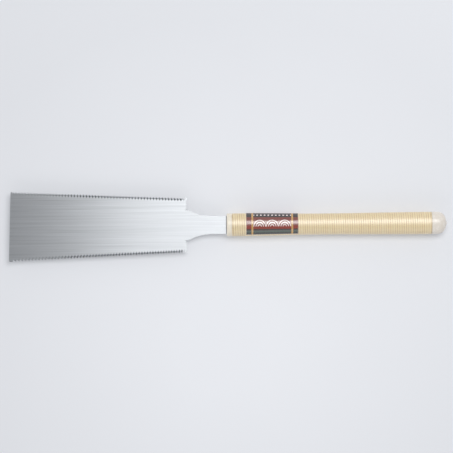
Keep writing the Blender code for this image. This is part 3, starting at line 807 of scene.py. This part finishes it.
def cane_winding(number, material):
    """One length of cane: a crowned strip wound on a drum, then laid on the handle's waisted oval.

    The first and last lengths run on by a turn and are trimmed square, so the cane meets both caps
    all round.
    """
    first = (number - 1) * CANE_TURNS - (1 if number == 1 else 0)
    last = number * CANE_TURNS + (1 if number == CANE_LENGTHS else 0)
    turns = last - first
    # Each length stops a hair short of the next one.
    shy = 1 - CANE_GAP / (math.pi * WAIST_WIDTH * turns)
    drum = WAIST_WIDTH / 2
    skin = -drum - CANE_THICKNESS
    strip_width = CANE_PITCH - CANE_GAP
    start_x = CANE_START + (CANE_PITCH - CANE_SOLID_GAP) / 2 + first * CANE_PITCH
    deselect()
    bpy.ops.mesh.primitive_plane_add(
        size=1.0, location=(start_x, 0.0, -drum - CANE_THICKNESS / 2), rotation=(QUARTER, 0.0, 0.0)
    )
    piece = begin(f"cane_winding_{number}")
    bpy.ops.transform.resize(value=(strip_width, 1.0, CANE_THICKNESS))
    bpy.ops.object.mode_set(mode="OBJECT")
    bpy.ops.object.transform_apply(location=True, rotation=True, scale=True)
    bpy.ops.object.mode_set(mode="EDIT")
    pick(piece, lambda co: co.z < -drum - CANE_THICKNESS / 2)
    bpy.ops.mesh.bevel(affect="VERTICES", offset=CANE_EDGE, segments=CANE_EDGE_STEPS)
    pick(piece, lambda co: co.z < skin + MERGE)
    bpy.ops.mesh.subdivide(number_cuts=1)
    pick(piece, lambda co: co.z < skin + MERGE and abs(co.x - start_x) < MERGE)
    bpy.ops.transform.translate(value=(0.0, 0.0, -CANE_CROWN))
    bpy.ops.mesh.select_mode(type="FACE")
    bpy.ops.mesh.select_all(action="SELECT")
    bpy.ops.mesh.delete(type="ONLY_FACE")
    bpy.ops.object.mode_set(mode="OBJECT")
    section = [abs(point.co.x - start_x) / (strip_width / 2) for point in piece.data.vertices]
    apply(
        piece,
        "SCREW",
        axis="X",
        angle=math.tau * shy,
        screw_offset=CANE_PITCH * shy,
        iterations=turns,
        steps=CANE_STEPS,
        render_steps=CANE_STEPS,
    )
    wound = piece.data.attributes.new("turn", "FLOAT", "POINT")
    across = piece.data.attributes.new("across", "FLOAT", "POINT")
    fast, slow = CANE_UNEVEN_RATES
    for point in piece.data.vertices:
        step, corner = divmod(point.index, len(section))
        at_turn = first + step / CANE_STEPS
        wound.data[point.index].value = at_turn
        across.data[point.index].value = section[corner]
        reach = math.hypot(point.co.y, point.co.z)
        uneven = CANE_UNEVEN * math.sin(at_turn * fast) * math.cos(at_turn * slow)
        lift = reach - drum - CANE_THICKNESS - CANE_CROWN + uneven
        radius = handle_radius(point.co.x) + lift
        point.co.y *= radius / reach
        point.co.z *= radius / reach * OVAL
    bpy.ops.object.mode_set(mode="EDIT")
    bpy.ops.mesh.select_all(action="SELECT")
    bpy.ops.mesh.fill_holes(sides=0)
    trims = []
    if number == 1:
        trims.append((CANE_START, -1.0))
    if number == CANE_LENGTHS:
        trims.append((CANE_END, 1.0))
    for x, side in trims:
        bpy.ops.mesh.select_all(action="SELECT")
        bpy.ops.mesh.bisect(
            plane_co=(x, 0.0, 0.0), plane_no=(side, 0.0, 0.0), clear_outer=True, use_fill=True
        )
    bpy.ops.mesh.select_all(action="SELECT")
    bpy.ops.mesh.normals_make_consistent(inside=False)
    end(piece, CANE_SHARP)
    piece.data.materials.append(material)
    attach(piece, "handle")
    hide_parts(f"cane_length_{number}")


def paper_label(material):
    """A paper band stuck on the cane, which shows through it as faint ribs."""
    length = LABEL_HIGH.x - LABEL_LOW.x
    deselect()
    bpy.ops.mesh.primitive_grid_add(
        x_subdivisions=LABEL_STEPS_ALONG, y_subdivisions=LABEL_STEPS_ROUND, size=1.0
    )
    piece = begin("paper_label")
    end(piece)
    for point in piece.data.vertices:
        x = LABEL_LOW.x + (point.co.x + 0.5) * length
        angle = LABEL_EDGE - (point.co.y + 0.5) * LABEL_WRAP
        turns = (x - CANE_START) / CANE_PITCH
        rib = LABEL_RIB * math.cos(math.tau * (turns + (angle + math.pi) / math.tau))
        radius = handle_radius(x) + LABEL_LIFT + rib
        point.co = (x, -radius * math.sin(angle), radius * math.cos(angle) * OVAL)
    bpy.ops.object.mode_set(mode="EDIT")
    bpy.ops.mesh.select_all(action="SELECT")
    bpy.ops.mesh.normals_make_consistent(inside=False)
    bpy.ops.object.mode_set(mode="OBJECT")
    apply(piece, "SOLIDIFY", thickness=LABEL_SHEET, offset=-1.0)
    piece.data.materials.append(material)
    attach(piece, "handle")
    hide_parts("label")


def filed_teeth(piece, line, heel_depth, tip_depth, filed_share):
    """Sets one edge's teeth to either side in turn, and files a bevel on the inner face of each."""
    heel, tip, _, inward = line
    root_heel = heel + inward * heel_depth
    root_tip = tip + inward * tip_depth
    bpy.ops.mesh.select_all(action="SELECT")
    bpy.ops.mesh.bisect(
        plane_co=root_heel,
        plane_no=(root_tip - root_heel).cross(Vector((0.0, 0.0, 1.0))),
        threshold=ON_THE_LINE,
    )
    places = tooth_places(line, bmesh.from_edit_mesh(piece.data).verts)
    near_teeth = set(places[0::2])
    far_teeth = set(places[1::2])
    near_tip = Vector((0.0, 0.0, TOOTH_SET))
    file_stroke = inward * filed_share * (heel_depth + tip_depth) / 2
    for teeth, lean in ((near_teeth, near_tip), (far_teeth, -near_tip)):
        pick(piece, lambda co: tooth_place(line, co) in teeth)
        bpy.ops.transform.translate(value=lean)
        pick(piece, lambda co: tooth_place(line, co) in teeth and co.z * lean.z < 0)
        bpy.ops.transform.translate(value=file_stroke)


def saw_blade(plate, edge):
    """The blade: a copy of its solid, with the teeth set and filed."""
    deselect()
    piece = bpy.data.objects.new("saw_blade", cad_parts["blade"].data.copy())
    bpy.context.scene.collection.objects.link(piece)
    bpy.context.view_layer.objects.active = piece
    piece.select_set(True)
    piece.data.materials.clear()
    bpy.ops.object.mode_set(mode="EDIT")
    bpy.ops.mesh.select_all(action="SELECT")
    bpy.ops.mesh.customdata_custom_splitnormals_clear()
    bpy.ops.mesh.remove_doubles(threshold=MERGE)
    bpy.ops.mesh.dissolve_limited(angle_limit=SAME_PLANE)
    filed_teeth(piece, CROSSCUT_LINE, CROSSCUT_DEPTH, CROSSCUT_DEPTH, CROSSCUT_FILED)
    filed_teeth(piece, RIP_LINE, RIP_HEEL_DEPTH, RIP_TIP_DEPTH, RIP_FILED)
    bpy.ops.mesh.select_all(action="SELECT")
    bpy.ops.mesh.faces_shade_flat()
    bpy.ops.object.mode_set(mode="OBJECT")
    # Reflections stretch across the brush lines, so the map's first axis runs across the blade.
    brushed = piece.data.uv_layers.new(name="UVMap")
    for corner in piece.data.loops:
        spot = piece.data.vertices[corner.vertex_index].co
        brushed.data[corner.index].uv = (spot.y, -spot.x)
    piece.data.materials.append(plate)
    piece.data.materials.append(edge)
    for face in piece.data.polygons:
        face.material_index = 1 if abs(face.normal.z) < FLAT_FACE else 0
    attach(piece, "blade")
    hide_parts("blade")


# Stage

def studio_world():
    """A soft room: pale walls, dimmer on one side, and a dim ceiling that the steel reflects."""
    world = bpy.data.worlds.new("soft_room")
    bpy.context.scene.world = world
    world.use_nodes = True
    tree = world.node_tree
    direction = add(tree, "ShaderNodeTexCoord").outputs["Generated"]
    way = add(tree, "ShaderNodeSeparateXYZ", {0: direction})
    to_dim_side = add(
        tree, "ShaderNodeVectorMath", {0: direction, 1: DIM_SIDE}, operation="DOT_PRODUCT"
    )
    walls = add(
        tree,
        "ShaderNodeMapRange",
        {0: to_dim_side.outputs["Value"], 1: DIM_FROM, 2: DIM_TO, 3: WALL_GLOW, 4: END_WALL_GLOW},
    )
    glow = add(
        tree,
        "ShaderNodeMapRange",
        {0: way.outputs[2], 1: WALL_TOP, 2: CEILING_FROM, 3: walls.outputs[0], 4: CEILING_GLOW},
    )
    room = tree.nodes["Background"]
    room.inputs["Color"].default_value = linear(ROOM_TINT)
    tree.links.new(glow.outputs[0], room.inputs["Strength"])


def soft_lamp(name, size, place, watts, aim=None):
    """A rectangular soft lamp, facing straight down or at a point."""
    lamp = bpy.data.lights.new(name, "AREA")
    lamp.shape = "RECTANGLE"
    lamp.size, lamp.size_y = size
    lamp.energy = watts
    made = bpy.data.objects.new(name, lamp)
    made.location = place
    if aim:
        made.rotation_euler = (Vector(aim) - Vector(place)).to_track_quat("-Z", "Y").to_euler()
    made.visible_camera = False
    bpy.context.scene.collection.objects.link(made)


def stage_floor(level):
    """A pale matt board with a faint mottle and a painted pool of light: paler in the middle than at its
    edges.
    """
    deselect()
    bpy.ops.mesh.primitive_plane_add(size=FLOOR_SIZE, location=(0.0, 0.0, level))
    floor = bpy.context.object
    floor.name = "floor"
    made, tree, shader = finish("matt_board", Roughness=0.9, Specular_IOR_Level=0.1)
    place = add(tree, "ShaderNodeTexCoord").outputs["Object"]
    # The mottle is about 150 mm across.
    mottle = add(tree, "ShaderNodeTexNoise", {"Vector": place, "Scale": 1 / (150 * MM), "Detail": 2.0})
    # A painted pool of light: the board's colour deepens with the distance from a middle point.
    from_pool_middle = add(
        tree, "ShaderNodeVectorMath", {0: place, 1: FLOOR_POOL_MIDDLE}, operation="DISTANCE"
    )
    uneven = add(
        tree,
        "ShaderNodeMath",
        {0: mottle.outputs[0], 1: FLOOR_MOTTLE, 2: from_pool_middle.outputs["Value"]},
        operation="MULTIPLY_ADD",
    )
    pool_falloff = add(
        tree, "ShaderNodeMapRange", {0: uneven.outputs[0], 1: FLOOR_POOL_FULL_TO, 2: FLOOR_POOL_EDGE_FROM}
    )
    colour = add(
        tree, "ShaderNodeValToRGB", {0: pool_falloff.outputs[0]}, stops=[(0.0, FLOOR_POOL_PALE), (1.0, FLOOR_POOL_DEEP)]
    )
    tree.links.new(colour.outputs[0], shader.inputs["Base Color"])
    # The eye and the steel see part of the board as an even white, which lightens its shadows.
    ray = add(tree, "ShaderNodeLightPath")
    seen = ray.outputs["Is Camera Ray"]
    for kind in ("Is Glossy Ray", "Is Transmission Ray"):
        either = add(tree, "ShaderNodeMath", {0: seen, 1: ray.outputs[kind]}, operation="MAXIMUM")
        seen = either.outputs[0]
    share = add(tree, "ShaderNodeMath", {0: seen, 1: FLOOR_EVEN}, operation="MULTIPLY")
    even = add(tree, "ShaderNodeEmission", {"Color": colour.outputs[0]})
    mixed = add(
        tree, "ShaderNodeMixShader", {0: share.outputs[0], 1: shader.outputs[0], 2: even.outputs[0]}
    )
    tree.links.new(mixed.outputs[0], tree.nodes["Material Output"].inputs["Surface"])
    floor.data.materials.append(made)


def photo_camera():
    """Straight down on the saw, with the same field as the photograph."""
    lens = bpy.data.cameras.new("camera")
    lens.sensor_width = SENSOR
    lens.lens = SENSOR * CAMERA_HEIGHT / FIELD
    camera = bpy.data.objects.new("camera", lens)
    camera.location = (*CAMERA_AIM, CAMERA_HEIGHT)
    camera.rotation_euler = (0.0, 0.0, CAMERA_ROLL)
    bpy.context.scene.collection.objects.link(camera)
    bpy.context.scene.camera = camera


# The saw

bpy.context.scene.view_settings.view_transform = "Standard"
saw_blade(brushed_saw_steel(), plain_metal("filed_steel", "9CA0A4", "8C9094", (0.30, 0.42)))
mouth_cap(moulded_abs("satin_moulded_abs", "F3EAD8", "ECE2CE", (0.30, 0.38)))
butt_end(moulded_abs("gloss_moulded_abs", "E9E2D8", "E3DBCF", (0.22, 0.30)))
rattan = lacquered_rattan()
for number in range(1, CANE_LENGTHS + 1):
    cane_winding(number, rattan)
paper_label(printed_paper())

wood = planed_cypress()
spring_steel = plain_metal("rolled_spring_steel", "8E9092", "7C7E80", (0.30, 0.42))
zinc = plain_metal("zinc_plated_steel", "C9C8C0", "B9B8B0", (0.28, 0.40))
brass = plain_metal("drawn_brass", "D8B36A", "C49C50", (0.25, 0.38))
FINISHES = {
    "core_near_half": wood,
    "core_far_half": wood,
    "blade_holder": spring_steel,
    "holder_rivet_1": brass,
    "holder_rivet_2": brass,
    "lock_nut": zinc,
    "lock_screw": zinc,
    "lock_washer": zinc,
}
for name, material in FINISHES.items():
    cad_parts[name].material_slots[0].material = material

visual_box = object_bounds()
studio_world()
soft_lamp("key", KEY_SIZE, KEY_PLACE, KEY_WATTS)
soft_lamp("fill", FILL_SIZE, FILL_PLACE, FILL_WATTS, (0.0, 0.0, 0.0))
stage_floor(visual_box[0][2])
photo_camera()
